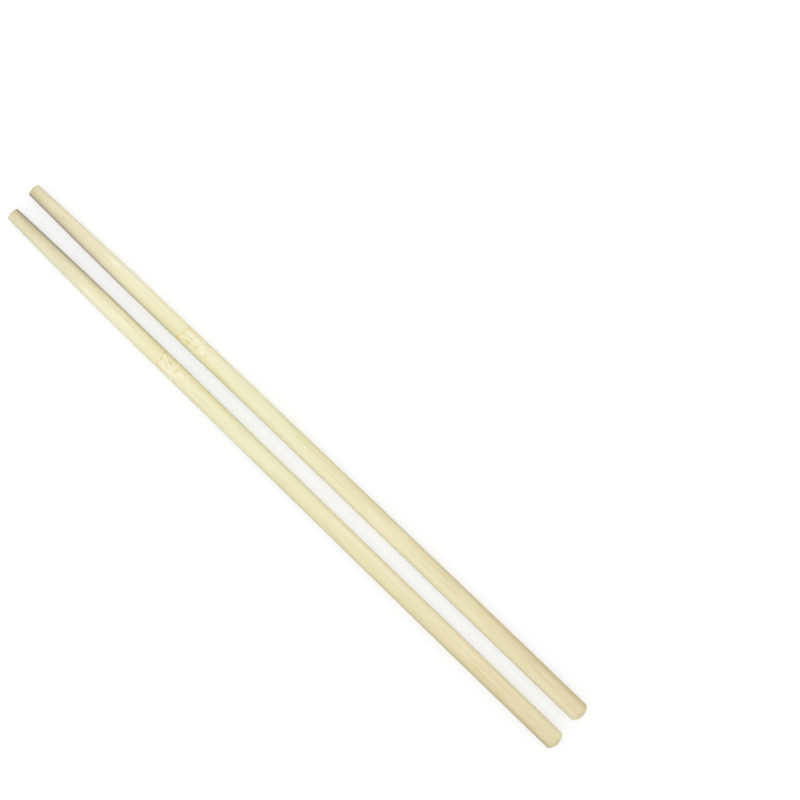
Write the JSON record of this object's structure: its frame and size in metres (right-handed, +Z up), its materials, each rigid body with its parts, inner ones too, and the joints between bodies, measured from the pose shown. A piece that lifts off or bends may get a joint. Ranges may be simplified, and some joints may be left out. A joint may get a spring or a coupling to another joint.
{
  "type": "bamboo chopsticks",
  "caption": "Round bamboo chopsticks for eating takeaway food, lying side by side: slim tapered tips, a joint of the bamboo across each stick, and straight grips with domed butts.",
  "frame": {"origin": "on the table under the middle of the pair's overall box", "axes": "+X from the tips to the butts, +Y to the stick on the right seen from the butts, +Z up from the table"},
  "size_m": [0.2404, 0.0184, 0.0066],
  "materials": {
    "bamboo": "satin, sanded, uncoated"
  },
  "bodies": {
    "root": {"chopstick_left": "bamboo", "chopstick_right": "bamboo"}
  },
  "joints": []
}
